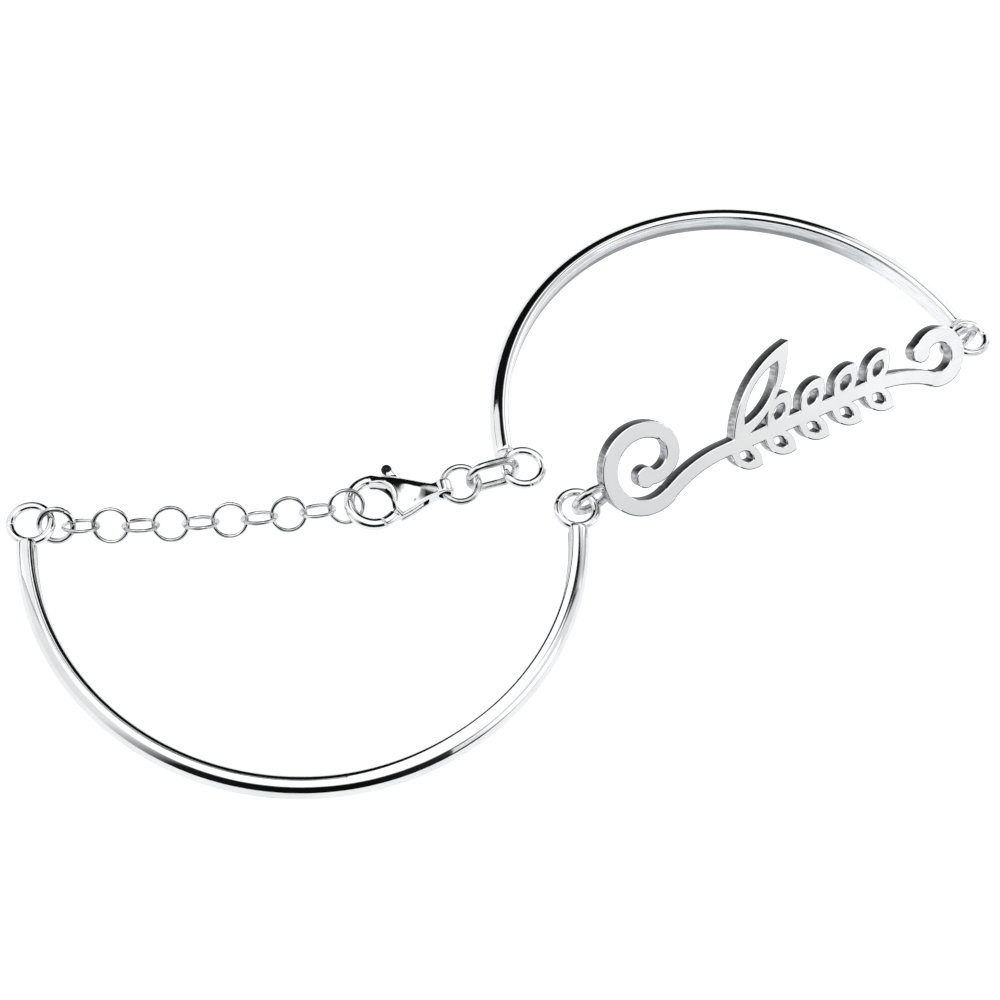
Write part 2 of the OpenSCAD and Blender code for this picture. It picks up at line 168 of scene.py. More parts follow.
def cutMarksPaintedShade():
    tree, inp, end = newGroup("cutMarksPaintedShade", "ShaderNodeTree", [
        ("Up", "Vector", None), ("Through", "Vector", None), ("Mark Size", "Float", 5000.0),
        ("Mark Stretch", "Float", 0.7), ("Top Shade", "Float", 0.06), ("Side Shade", "Float", 0.55)],
        surfaceOutputs)
    place = put(tree, "ShaderNodeTexCoord").outputs["Object"]
    deep = calc(tree, "MULTIPLY", vectorCalc(tree, "DOT_PRODUCT", place, inp["Through"]), inp["Mark Stretch"])
    along = put(tree, "ShaderNodeVectorMath", {0: inp["Through"], "Scale": deep}, operation="SCALE").outputs[0]
    marks = put(tree, "ShaderNodeTexNoise", {
        "Vector": vectorCalc(tree, "SUBTRACT", place, along), "Scale": inp["Mark Size"],
        "Detail": cutMarksShadeLook["markDetail"]}).outputs[0]
    # Painted shade: the tone follows how far a wall faces up the slope.
    rise = vectorCalc(tree, "DOT_PRODUCT", put(tree, "ShaderNodeNewGeometry").outputs["Normal"], inp["Up"])
    shade = remap(tree, rise, cutMarksShadeLook["riseRange"], (inp["Side Shade"], inp["Top Shade"]), soft=True)
    tone = calc(tree, "MULTIPLY", shade, remap(tree, marks, cutMarksShadeLook["markRange"], cutMarksShadeLook["markTone"]))
    rough = remap(tree, marks, (0.0, 1.0), cutMarksShadeLook["rough"])
    return endSurface(tree, end, coolGrey(tree, tone, cutMarksShadeLook["green"], cutMarksShadeLook["blue"]), rough, marks)


# Inside faces of the half bangles: brushed along the arc, with painted shade on their lower half and a painted pale
# sheen towards one end

brushedLook = dict(streakDetail=4.0, streakMix=0.65, wanderSize=350.0, wanderDetail=3.0, streakRange=(0.3, 0.7),
                   streakTone=(0.72, 1.3), rough=(0.14, 0.4), green=1.02, blue=1.04)


def brushedPaintedShade():
    tree, inp, end = newGroup("brushedPaintedShade", "ShaderNodeTree", [
        ("Centre", "Vector", None), ("Streak Length", "Float", 9.0), ("Streak Size", "Float", 5200.0),
        ("Middle Height", "Float", 0.00098), ("Height Blend", "Float", 0.00012), ("Wander", "Float", 0.0004),
        ("Low Shade", "Float", 0.3), ("High Shade", "Float", 0.68), ("Pale Before", "Float", -4.0),
        ("Pale Blend", "Float", 0.5)], surfaceOutputs)
    place = put(tree, "ShaderNodeTexCoord").outputs["Object"]
    away = put(tree, "ShaderNodeSeparateXYZ", {0: vectorCalc(tree, "SUBTRACT", place, inp["Centre"])}).outputs
    angle = calc(tree, "ARCTAN2", away[1], away[0])
    spot = put(tree, "ShaderNodeCombineXYZ", {
        0: calc(tree, "MULTIPLY", angle, inp["Streak Length"]),
        1: calc(tree, "MULTIPLY", away[2], inp["Streak Size"])}).outputs[0]
    streaks = put(tree, "ShaderNodeTexNoise", {
        "Vector": spot, "Scale": 1.0, "Detail": brushedLook["streakDetail"],
        "Roughness": brushedLook["streakMix"]}).outputs[0]
    wander = put(tree, "ShaderNodeTexNoise", {
        "Vector": place, "Scale": brushedLook["wanderSize"], "Detail": brushedLook["wanderDetail"]}).outputs[0]
    shift = calc(tree, "MULTIPLY", calc(tree, "SUBTRACT", wander, 0.5), inp["Wander"])
    # Painted shade below the middle height, and a painted pale sheen before Pale Before.
    rise = calc(tree, "SUBTRACT", calc(tree, "ADD", away[2], shift), inp["Middle Height"])
    blend = inp["Height Blend"]
    high = remap(tree, rise, (calc(tree, "MULTIPLY", blend, -1.0), blend), (inp["Low Shade"], inp["High Shade"]),
                 soft=True)
    pale = remap(tree, calc(tree, "SUBTRACT", angle, inp["Pale Before"]), (0.0, inp["Pale Blend"]), (1.0, 0.0))
    tone = calc(tree, "MULTIPLY", calc(tree, "MAXIMUM", high, pale),
                remap(tree, streaks, brushedLook["streakRange"], brushedLook["streakTone"]))
    rough = remap(tree, streaks, (0.0, 1.0), brushedLook["rough"])
    return endSurface(tree, end, coolGrey(tree, tone, brushedLook["green"], brushedLook["blue"]), rough, streaks)


silverGroup, cutShadeGroup, brushedShadeGroup = silverEffects(), cutMarksPaintedShade(), brushedPaintedShade()
reliefDepth = 0.00002


def finishMaterial(name, group, bump, values):
    made = bpy.data.materials.new(name)
    made.use_nodes = True
    tree = made.node_tree
    shader = tree.nodes["Principled BSDF"]
    shader.inputs["Metallic"].default_value = 1.0
    effects = put(tree, "ShaderNodeGroup", node_tree=group)
    for title, value in values.items():
        effects.inputs[title].default_value = value
    tree.links.new(effects.outputs["Color"], shader.inputs["Base Color"])
    tree.links.new(effects.outputs["Roughness"], shader.inputs["Roughness"])
    relief = put(tree, "ShaderNodeBump", {
        "Height": effects.outputs["Height"], "Strength": bump, "Distance": reliefDepth})
    tree.links.new(relief.outputs[0], shader.inputs["Normal"])
    return made


polished = finishMaterial("polishedSilver", silverGroup, 0.06, {})
wornWire = finishMaterial("wornWire", silverGroup, 0.1, {
    "Rough Low": 0.03, "Rough High": 0.09, "Haze Size": 900.0, "Dull Color": (0.34, 0.35, 0.365, 1)})
castSilver = finishMaterial("castSilver", silverGroup, 0.1, {
    "Rough Low": 0.05, "Rough High": 0.14, "Grain Size": 600.0, "Grain Stretch": 1.0})
plateSilver = finishMaterial("plateSilver", silverGroup, 0.05, {
    "Rough Low": 0.12, "Rough High": 0.2, "Clean Color": (0.93, 0.935, 0.94, 1)})
# Near black silver: painted shade for the hook's inside wall, the slot, the bore, the lever's flat sides and the
# plate's lower bevels.
paintedShadeSilver = finishMaterial("paintedShadeSilver", silverGroup, 0.3, {
    "Rough Low": 0.2, "Rough High": 0.4, "Grain Size": 1500.0, "Grain Stretch": 1.0,
    "Clean Color": (0.03, 0.032, 0.035, 1), "Dull Color": (0.012, 0.013, 0.015, 1)})
# Near black knob: painted shade and painted dark reflection.
knobPaintedShade = finishMaterial("knobPaintedShade", silverGroup, 0.6, {
    "Rough Low": 0.3, "Rough High": 0.5, "Grain Size": 2500.0, "Grain Stretch": 1.0,
    "Clean Color": (0.04, 0.043, 0.047, 1), "Dull Color": (0.015, 0.017, 0.019, 1)})
print("stage: silver finishes")


# Wire rings: a circle of wire, stretched into an oval where asked, with the seam of its solder joint

def wireRing():
    tree, inp, end = newGroup("wireRing", "GeometryNodeTree", [
        ("Middle Radius", "Float", 0.0013), ("Wire Radius", "Float", 0.00016), ("Half Stretch", "Float", 0.0),
        ("Around", "Int", 96), ("Sides", "Int", 20), ("Seam Angle", "Float", 0.0), ("Seam Depth", "Float", 0.1),
        ("Seam Width", "Float", 0.00004)], [("Mesh", "Geometry")])
    circle = put(tree, "GeometryNodeCurvePrimitiveCircle", {
        "Resolution": inp["Around"], "Radius": inp["Middle Radius"]}).outputs[0]
    here = put(tree, "ShaderNodeSeparateXYZ", {0: put(tree, "GeometryNodeInputPosition").outputs[0]}).outputs
    angle = calc(tree, "ARCTAN2", here[1], here[0])
    turned = calc(tree, "WRAP", calc(tree, "SUBTRACT", angle, inp["Seam Angle"]), math.pi, -math.pi)
    away = calc(tree, "DIVIDE", calc(tree, "MULTIPLY", turned, inp["Middle Radius"]), inp["Seam Width"])
    dip = calc(tree, "EXPONENT", calc(tree, "MULTIPLY", calc(tree, "MULTIPLY", away, away), -1.0))
    size = calc(tree, "SUBTRACT", 1.0, calc(tree, "MULTIPLY", dip, inp["Seam Depth"]))
    halfShift = calc(tree, "MULTIPLY", calc(tree, "SIGN", here[0]), inp["Half Stretch"])
    sized = put(tree, "GeometryNodeCaptureAttribute", {"Geometry": circle})
    sized.capture_items.new("FLOAT", "size")
    tree.links.new(size, sized.inputs[1])
    moved = put(tree, "GeometryNodeSetPosition", {
        "Geometry": sized.outputs[0], "Offset": put(tree, "ShaderNodeCombineXYZ", {0: halfShift}).outputs[0]})
    profile = put(tree, "GeometryNodeCurvePrimitiveCircle", {
        "Resolution": inp["Sides"], "Radius": inp["Wire Radius"]}).outputs[0]
    tube = put(tree, "GeometryNodeCurveToMesh", {
        "Curve": moved.outputs[0], "Profile Curve": profile, "Scale": sized.outputs[1]})
    soft = put(tree, "GeometryNodeSetShadeSmooth", {"Geometry": tube.outputs[0]})
    tree.links.new(soft.outputs[0], end[0])
    return tree


ringGroup = wireRing()
ringShape = ("Middle Radius", "Wire Radius", "Half Stretch", "Around", "Sides", "Seam Angle", "Seam Depth")


def placedRing():
    tree, inp, end = newGroup("placedRing", "GeometryNodeTree", [
        ("Middle Radius", "Float", 0.0013), ("Wire Radius", "Float", 0.00016), ("Half Stretch", "Float", 0.0),
        ("Around", "Int", 160), ("Sides", "Int", 32), ("Seam Angle", "Float", 0.0), ("Seam Depth", "Float", 0.1),
        ("Place", "Vector", None), ("Turn", "Rotation", None), ("Finish", "Material", None)],
        [("Mesh", "Geometry")])
    ring = put(tree, "GeometryNodeGroup", node_tree=ringGroup)
    for title in ringShape:
        tree.links.new(inp[title], ring.inputs[title])
    laid = put(tree, "GeometryNodeTransform", {
        "Geometry": ring.outputs[0], "Translation": inp["Place"], "Rotation": inp["Turn"]}).outputs[0]
    made = put(tree, "GeometryNodeSetMaterial", {"Geometry": laid, "Material": inp["Finish"]})
    tree.links.new(made.outputs[0], end[0])
    return tree


placedGroup = placedRing()


def makeRing(name, ring):
    return runNodes(name, placedGroup, {
        "Middle Radius": (ring["across"] - ring["wire"]) / 2 * mm, "Wire Radius": ring["wire"] / 2 * mm,
        "Half Stretch": ring.get("stretch", 0) * mm, "Seam Angle": math.radians(ring["seam"]),
        "Seam Depth": ring["seamDepth"], "Place": [v * mm for v in ring["place"]],
        "Turn": [math.radians(v) for v in ring["turn"]], "Finish": ring.get("finish", wornWire)})


# The run of the chain and the clasp, one shallow arc on the table

run = dict(startX=-35.0192, startY=-12.2743, radius=108.022, heading=9.4509)


def runAngle(along):
    return run["heading"] + math.degrees(along / run["radius"])


def runPoint(along):
    first, last = math.radians(run["heading"]), math.radians(runAngle(along))
    return (run["startX"] + run["radius"] * (math.sin(last) - math.sin(first)),
            run["startY"] + run["radius"] * (math.cos(first) - math.cos(last)))


def leaningHeight(ring):  # of the middle of a ring that leans over, with its lowest wire on the table
    return (ring["across"] - ring["wire"]) / 2 * math.sin(math.radians(ring["roll"])) + ring["wire"] / 2


# Chain links, laid along the run by rule, rolled one way and the other in turn

def chainRule():
    tree, inp, end = newGroup("chainRule", "GeometryNodeTree", [
        ("Count", "Int", 10), ("First", "Float", 0.0), ("Pitch", "Float", 0.0022), ("Run Start", "Vector", None),
        ("Run Radius", "Float", 0.1), ("Run Heading", "Float", 0.0), ("Middle Radius", "Float", 0.0013),
        ("Wire Radius", "Float", 0.00016), ("Seam Angle", "Float", 0.0), ("Seam Depth", "Float", 0.1),
        ("Roll", "Float", 0.8), ("Roll Spread", "Float", 0.0), ("Seed", "Int", 3), ("Finish", "Material", None)],
        [("Mesh", "Geometry")])
    index = put(tree, "GeometryNodeInputIndex").outputs[0]
    along = calc(tree, "ADD", inp["First"], calc(tree, "MULTIPLY", index, inp["Pitch"]))
    angle = calc(tree, "ADD", inp["Run Heading"], calc(tree, "DIVIDE", along, inp["Run Radius"]))
    right = calc(tree, "SUBTRACT", calc(tree, "SINE", angle), calc(tree, "SINE", inp["Run Heading"]))
    ahead = calc(tree, "SUBTRACT", calc(tree, "COSINE", inp["Run Heading"]), calc(tree, "COSINE", angle))
    even = calc(tree, "SUBTRACT", 1.0, calc(tree, "FLOORED_MODULO", index, 2.0))
    roll = calc(tree, "SUBTRACT", inp["Roll"], calc(tree, "MULTIPLY", even, math.pi / 2))
    rest = calc(tree, "ADD", inp["Wire Radius"],
                calc(tree, "MULTIPLY", inp["Middle Radius"], calc(tree, "ABSOLUTE", calc(tree, "SINE", roll))))
    flat = put(tree, "ShaderNodeCombineXYZ", {
        0: calc(tree, "MULTIPLY", right, inp["Run Radius"]), 1: calc(tree, "MULTIPLY", ahead, inp["Run Radius"]),
        2: rest}).outputs[0]
    points = put(tree, "GeometryNodePoints", {
        "Count": inp["Count"], "Position": vectorCalc(tree, "ADD", flat, inp["Run Start"])}).outputs[0]
    spread = put(tree, "FunctionNodeRandomValue", {
        2: calc(tree, "MULTIPLY", inp["Roll Spread"], -1.0), 3: inp["Roll Spread"], "Seed": inp["Seed"]},
        data_type="FLOAT")
    turned = put(tree, "ShaderNodeCombineXYZ", {0: calc(tree, "ADD", roll, spread.outputs[1]), 2: angle}).outputs[0]
    ring = put(tree, "GeometryNodeGroup", node_tree=ringGroup)
    for title in ("Middle Radius", "Wire Radius", "Seam Angle", "Seam Depth"):
        tree.links.new(inp[title], ring.inputs[title])
    laid = put(tree, "GeometryNodeInstanceOnPoints", {
        "Points": points, "Instance": ring.outputs[0], "Rotation": turned}).outputs[0]
    real = put(tree, "GeometryNodeRealizeInstances", {"Geometry": laid}).outputs[0]
    made = put(tree, "GeometryNodeSetMaterial", {"Geometry": real, "Material": inp["Finish"]})
    tree.links.new(made.outputs[0], end[0])
    return tree


chain = dict(count=10, first=3.63, pitch=2.21, across=2.9, wire=0.32, roll=47, spread=0.6, seed=4, seam=75,
             seamDepth=0.1)
chainLinks = runNodes("chainLinks", chainRule(), {
    "Count": chain["count"], "First": chain["first"] * mm, "Pitch": chain["pitch"] * mm,
    "Run Start": [run["startX"] * mm, run["startY"] * mm, 0.0], "Run Radius": run["radius"] * mm,
    "Run Heading": math.radians(run["heading"]), "Middle Radius": (chain["across"] - chain["wire"]) / 2 * mm,
    "Wire Radius": chain["wire"] / 2 * mm, "Seam Angle": math.radians(chain["seam"]),
    "Seam Depth": chain["seamDepth"], "Roll": math.radians(chain["roll"]),
    "Roll Spread": math.radians(chain["spread"]), "Seed": chain["seed"], "Finish": wornWire})
finishPiece(chainLinks, "bracelet", ["chain_link_%02d" % (i + 1) for i in range(chain["count"])])

chainRing = dict(across=2.95, wire=0.45, along=1.825, roll=47, seam=60, seamDepth=0.12)
chainRing["place"] = (*runPoint(chainRing["along"]), leaningHeight(chainRing))
chainRing["turn"] = (chainRing["roll"], 0, runAngle(chainRing["along"]))
finishPiece(makeRing("chainEndRing", chainRing), "bracelet", ["chain_ring"])

swivel = dict(across=3.36, wire=0.52, along=32.5467, roll=8, pitch=8, height=1.1476, seam=35, seamDepth=0.12)
swivel["place"] = (*runPoint(swivel["along"]), swivel["height"])
swivel["turn"] = (swivel["roll"], -swivel["pitch"], runAngle(swivel["along"]))
finishPiece(makeRing("swivelRing", swivel), "bracelet", ["swivel_ring"])

oval = dict(length=4.45, across=3.1, wire=0.65, along=35.1317, roll=78, seam=80, seamDepth=0.06)
oval["stretch"] = (oval["length"] - oval["across"]) / 2
oval["place"] = (*runPoint(oval["along"]), leaningHeight(oval))
oval["turn"] = (oval["roll"], 0, runAngle(oval["along"]))
finishPiece(makeRing("ovalRing", oval), "bracelet", ["oval_ring"])
print("stage: chain and rings")


# Half bangles: a D-shaped bar swept along its arc, rounded at its edges, with a ring at each end

bar = dict(height=2.0, thick=1.5, inner=20.0, edgeSteps=12, crownSteps=48, flatSteps=8, steps=240, insideLevel=0.97,
           endRound=0.12, wornEnds=((0, 0.8), (0.3, 0.25)))  # shares of the rounding: how far in, how deep


def barProfile(inset, edge):
    h, t = bar["height"] / 2 - inset, bar["thick"] - inset
    crown = t - h
    corner = []
    for k in range(bar["edgeSteps"] + 1):
        a = math.radians(180 - k * 90 / bar["edgeSteps"])
        corner.append((inset + edge + (edge - inset / 2) * math.cos(a), h - edge + edge * math.sin(a)))
    points = list(corner)
    for k in range(bar["crownSteps"] + 1):
        a = math.radians(90 - k * 180 / bar["crownSteps"])
        points.append((crown + h * math.cos(a), h * math.sin(a)))
    points += [(x, -y) for x, y in reversed(corner)]
    for k in range(1, bar["flatSteps"]):
        points.append((corner[0][0], (h - edge) * (2 * k / bar["flatSteps"] - 1)))
    return points


def sweepBar(name, first, last, edges):
    made = bmesh.new()
    start, span = math.radians(first), math.radians(last - first)
    cut = bar["endRound"] / (bar["inner"] + bar["thick"] / 2)
    worn = [(share * cut, depth * bar["endRound"]) for share, depth in bar["wornEnds"]]
    stations = [(start + along, inset) for along, inset in worn]
    stations += [(start + cut + (span - 2 * cut) * k / bar["steps"], 0.0) for k in range(bar["steps"] + 1)]
    stations += [(start + span - along, inset) for along, inset in reversed(worn)]
    rims = []
    for angle, inset in stations:
        blend = ease(math.degrees(angle), edges["turnFrom"], edges["turnTo"])
        rim = []
        for x, y in barProfile(inset, edges["first"] + (edges["last"] - edges["first"]) * blend):
            r = (bar["inner"] + x) * mm
            rim.append(made.verts.new((r * math.cos(angle), r * math.sin(angle), (y + bar["height"] / 2) * mm)))
        rims.append(rim)
    count = len(rims[0])
    for a, b in zip(rims, rims[1:]):
        for k in range(count):
            made.faces.new((a[k], a[(k + 1) % count], b[(k + 1) % count], b[k]))
    made.faces.new(rims[0][::-1])
    made.faces.new(rims[-1])
    bmesh.ops.recalc_face_normals(made, faces=made.faces)
    for face in made.faces:
        face.smooth = True
        middle = face.calc_center_median()
        outward = Vector((middle.x, middle.y, 0)).normalized()
        inside = face.normal.dot(outward) < -bar["insideLevel"] and len(face.verts) == 4
        face.material_index = 1 if inside else 0
    mesh = bpy.data.meshes.new(name)
    made.to_mesh(mesh)
    made.free()
    return addObject(name, mesh)


def joinPieces(name, pieces):
    finishes, made = [], bmesh.new()
    for piece in pieces:
        before = len(made.faces)
        made.from_mesh(piece.data)
        made.faces.ensure_lookup_table()
        for face in made.faces[before:]:
            finish = piece.data.materials[face.material_index]
            if finish not in finishes:
                finishes.append(finish)
            face.material_index = finishes.index(finish)
        bpy.data.objects.remove(piece)
    mesh = bpy.data.meshes.new(name)
    made.to_mesh(mesh)
    made.free()
    for finish in finishes:
        mesh.materials.append(finish)
    return addObject(name, mesh)


endRing = dict(across=3.7, wire=0.7, height=1.25, sunk=0.3, seamDepth=0.1)
endReach = (endRing["across"] / 2 - endRing["sunk"]) / (bar["inner"] + bar["thick"] / 2)


def halfBangle(name, bangle):
    made = sweepBar(name + "Bar", bangle["start"]["at"], bangle["end"]["at"], bangle["edges"])
    place = (Matrix.Translation([v * mm for v in bangle["centre"]])
             @ Matrix.Rotation(math.radians(bangle["turn"]), 4, "Z"))
    made.data.transform(place)
    made.data.materials.append(polished)
    # Inside faces: brushed, with painted shade low down and a painted pale sheen before paleBefore.
    made.data.materials.append(finishMaterial(name + "BrushedWithPaintedShade", brushedShadeGroup, 0.4, {
        "Centre": [v * mm for v in bangle["centre"]], "Pale Before": math.radians(bangle["paleBefore"])}))
    parts = [made]
    for part, outward in (("start", -1), ("end", 1)):
        end = bangle[part]
        angle = math.radians(end["at"]) + outward * endReach
        r = bar["inner"] + bar["thick"] / 2 - end["inset"]
        spot = place @ Vector((r * math.cos(angle) * mm, r * math.sin(angle) * mm, endRing["height"] * mm))
        parts.append(makeRing(name + part, dict(
            endRing, place=[v / mm for v in spot], turn=(0, 0, 0), seam=end["seam"], finish=polished)))
    return joinPieces(name, parts)


lower = dict(centre=(-14.9671, -8.26014, 0), turn=0, start=dict(at=-164.4, seam=200, inset=0.3),
             end=dict(at=11.6, seam=170, inset=0), edges=dict(first=0.52, last=0.2, turnFrom=-75, turnTo=-40),
             paleBefore=-200)
finishPiece(halfBangle("lowerBangle", lower), "bracelet", ["lower_bangle"])
upper = dict(centre=(18.1747, 8.26014, 0), turn=30.0093, start=dict(at=10, seam=20, inset=0),
             end=dict(at=170, seam=-60, inset=1.2), edges=dict(first=0.4, last=0.5, turnFrom=40, turnTo=90),
             paleBefore=60)
finishPiece(halfBangle("upperBangle", upper), "bracelet", ["upper_bangle"])
print("stage: half bangles")


# Scroll plate: the solid's own shape, merged, with bevelled edges, flat faces and sawn walls; the walls and the
# bevels that face down the slope carry painted shade

mergeReach = 2e-7


def copyNode(node):
    made = bmesh.new()
    made.from_mesh(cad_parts[node].data)
    bmesh.ops.remove_doubles(made, verts=made.verts, dist=mergeReach)
    return made


plate = dict(bevel=0.09, bevelSteps=2, bevelAngle=35, flat=0.6, start=(4.99106, -2.58248), heading=37.4018,
             slope=45, rings=(1.25, 36.55), ringZ=1.85, ringMiddle=1.45, ringWire=0.35, ringReach=0.03,
             faceLevel=0.995, wallLevel=0.3, darkBelow=-0.25)
plateTurn = Matrix.Rotation(math.radians(plate["heading"]), 3, "Z")
plateLean = plateTurn @ Matrix.Rotation(math.radians(plate["slope"]), 3, "X")
plateAlong = plateTurn @ Vector((1, 0, 0))
plateAcross = plateTurn @ Vector((0, 1, 0))
plateUp = plateLean @ Vector((0, 1, 0))
plateFace = plateLean @ Vector((0, 0, 1))
sawnPaintedShade = finishMaterial("sawnPaintedShade", cutShadeGroup, 0.3, {"Up": plateUp, "Through": plateFace})
plateRings = [Vector((*plate["start"], plate["ringZ"])) + plateAlong * along for along in plate["rings"]]
plateFinishes = dict(face=plateSilver, wall=sawnPaintedShade, bevel=polished, ring=wornWire, paintedShadeBevel=paintedShadeSilver)


def onPlateRing(spot):
    for centre in plateRings:
        away = spot / mm - centre
        out = math.hypot(away.dot(plateAlong), away.z) - plate["ringMiddle"]
        if abs(math.hypot(out, away.dot(plateAcross)) - plate["ringWire"]) < plate["ringReach"]:
            return True
    return False


def plateFinish(face):
    tilt = abs(face.normal.dot(plateFace))
    if onPlateRing(face.center):
        return "ring"
    if tilt > plate["faceLevel"]:
        return "face"
    if tilt < plate["wallLevel"]:
        return "wall"
    # Bevel faces that face down the slope get painted shade.
    return "paintedShadeBevel" if face.normal.dot(plateUp) < plate["darkBelow"] else "bevel"


def makePlate(name):
    work = copyNode("nameplate")
    bmesh.ops.dissolve_limit(work, angle_limit=math.radians(plate["flat"]), verts=work.verts, edges=work.edges)
    mesh = bpy.data.meshes.new(name)
    work.to_mesh(mesh)
    work.free()
    helper = addObject(name + "Maker", mesh)
    bevel = helper.modifiers.new("bevel", "BEVEL")
    bevel.width = plate["bevel"] * mm
    bevel.segments = plate["bevelSteps"]
    bevel.use_clamp_overlap = False
    bevel.limit_method = "ANGLE"
    bevel.angle_limit = math.radians(plate["bevelAngle"])
    made = bakeModifiers(helper, name)
    made.data.materials.clear()
    for finish in plateFinishes.values():
        made.data.materials.append(finish)
    for face in made.data.polygons:
        finish = plateFinish(face)
        face.material_index = list(plateFinishes).index(finish)
        face.use_smooth = finish != "face"
    return made


finishPiece(makePlate("scrollPlate"), "bracelet", ["nameplate"])
print("stage: scroll plate")


# Clasp: the solids' shapes remeshed and smoothed into a casting

claspFrame = dict(eye=(-5.42155, -2.81707, 0.95), turn=23.9576)  # from the eye, the claw is at -X, the knob at +Y
claspPlace = (Matrix.Translation([v * mm for v in claspFrame["eye"]])
              @ Matrix.Rotation(math.radians(claspFrame["turn"]), 4, "Z"))
claspBack = claspPlace.inverted()
smoothing = 0.5


def smoothPiece(helper, name, rounds):
    smooth = helper.modifiers.new("smooth", "SMOOTH")
    smooth.factor = smoothing
    smooth.iterations = rounds
    return bakeModifiers(helper, name)


def castPiece(work, name, cast):
    mesh = bpy.data.meshes.new(name)
    work.to_mesh(mesh)
    work.free()
    mesh.materials.clear()
    helper = addObject(name + "Maker", mesh)
    remesh = helper.modifiers.new("remesh", "REMESH")
    remesh.mode = "VOXEL"
    remesh.voxel_size = cast["voxel"] * mm
    remesh.use_smooth_shade = True
    return smoothPiece(helper, name, cast["rounds"])


def thinPiece(piece, share):  # scales each point's height above the clasp's middle plane
    for vertex in piece.data.vertices:
        local = claspBack @ vertex.co
        local.z *= share(local.x / mm, local.y / mm)
        vertex.co = claspPlace @ local


def coatPiece(piece, finishes, choose):
    piece.data.materials.clear()
    for finish in finishes:
        piece.data.materials.append(finish)
    for face in piece.data.polygons:
        face.use_smooth = True
        local = (claspBack @ face.center) / mm
        face.material_index = finishes.index(choose(local, claspBack.to_3x3() @ face.normal))


# In body, wall, slot and bore give where the clasp body gets painted shade.
body = dict(voxel=0.045, rounds=10, again=16, grow=1.014, claw=(-5.5, -0.0187),
            guides=((-0.3025, 0.449), (-2.2, 0.898), (-3.696, 2.057), (-5.5, 2.188)), guideSteps=40,
            far=dict(width=0.95, left=0.42), hole=dict(radius=1.43, width=0.4, left=0.68),
            pinCover=dict(at=(-2.8545, -0.748), radius=0.33, top=0.9, depth=0.2, sides=48),
            fade=dict(claw=0.9, tail=(-0.9, -0.3), low=(-2.4, -1.9)),
            wall=dict(deep=0.3, level=0.6, turn=(-60, 185), top=0.6, drop=0.8, dropOver=70),
            slot=dict(half=0.37, ends=(-4.35, -1.3), level=0.5), bore=dict(radius=0.54, end=0.5))


def farLine():  # the clasp's far side, a smooth curve led by its guide points
    line = []
    for k in range(body["guideSteps"] + 1):
        row = [Vector(p) for p in body["guides"]]
        while len(row) > 1:
            row = [a.lerp(b, k / body["guideSteps"]) for a, b in zip(row, row[1:])]
        line.append(row[0])
    return line


claspSide = farLine()


def farSide(x):
    for a, b in zip(claspSide, claspSide[1:]):
        if b.x <= x <= a.x:
            return a.y + (b.y - a.y) * (x - a.x) / (b.x - a.x)
    return claspSide[0].y if x > claspSide[0].x else claspSide[-1].y


def rollOver(depth, edge):  # a quarter round from the edge inwards
    t = min(1.0, max(0.0, depth / edge["width"]))
    return edge["left"] + (1 - edge["left"]) * math.sqrt(1 - (1 - t) ** 2)


def bodyShare(x, y):
    hole, fade = body["hole"], body["fade"]
    far = rollOver(farSide(x) - y, body["far"])
    near = rollOver(math.dist((x, y), body["claw"]) - hole["radius"], hole)
    inside = (ease(x, body["claw"][0], body["claw"][0] + fade["claw"]) * (1 - ease(x, *fade["tail"]))
              * ease(y, *fade["low"]))
    return body["grow"] * (1 + inside * (far * near - 1))


# Painted shade: the inside wall of the hook, the lever's slot and the bore through the eye take the near black
# silver.
def bodyFinish(local, normal):
    wall, slot, bore = body["wall"], body["slot"], body["bore"]
    x, y, z = local
    turn = math.degrees(math.atan2(y - body["claw"][1], x - body["claw"][0]))
    shadedHookWall = (math.dist((x, y), body["claw"]) - body["hole"]["radius"] < wall["deep"]
              and abs(normal.z) < wall["level"] and z < wall["top"] - wall["drop"] * ease(turn, 0, wall["dropOver"])
              and wall["turn"][0] < (turn + 90) % 360 - 90 < wall["turn"][1])
    inSlot = abs(z) < slot["half"] and slot["ends"][0] < x < slot["ends"][1] and abs(normal.z) > slot["level"]
    inBore = math.hypot(x, z) < bore["radius"] and abs(y) < bore["end"]
    return paintedShadeSilver if shadedHookWall or inSlot or inBore else castSilver


def makeBody(name):
    work = copyNode("clasp_body")
    cover = body["pinCover"]
    for face in (-1, 1):
        middle = (*cover["at"], face * (cover["top"] - cover["depth"] / 2))
        bmesh.ops.create_cone(work, cap_ends=True, segments=cover["sides"], radius1=cover["radius"] * mm,
                              radius2=cover["radius"] * mm, depth=cover["depth"] * mm,
                              matrix=claspPlace @ Matrix.Translation([v * mm for v in middle]))
    made = castPiece(work, name + "Maker", body)
    thinPiece(made, bodyShare)
    made = smoothPiece(made, name, body["again"])
    coatPiece(made, [castSilver, paintedShadeSilver], bodyFinish)
    return made


finishPiece(makeBody("claspBody"), "bracelet", ["clasp_body"])

lever = dict(voxel=0.04, rounds=6, knob=dict(at=(-3.9215, 2.5806, 0.0), wide=0.47), thin=0.8, gate=-3.75,
             gateBlend=0.3, stem=(1.7, 2.0), flat=dict(half=0.3, top=1.9, level=0.6))


def leverShare(x, y):
    back = ease(x, lever["gate"], lever["gate"] + lever["gateBlend"])
    return 1 - (1 - lever["thin"]) * back * (1 - ease(y, *lever["stem"]))


# The knob is painted near black, and the lever's flat sides inside the body get painted shade.
def leverFinish(local, normal):
    knob, flat = lever["knob"], lever["flat"]
    if (local - Vector(knob["at"])).length < knob["wide"]:
        return knobPaintedShade
    inBody = local.x > lever["gate"] and local.y < flat["top"]
    return paintedShadeSilver if inBody and abs(normal.z) > flat["level"] and abs(local.z) < flat["half"] else castSilver


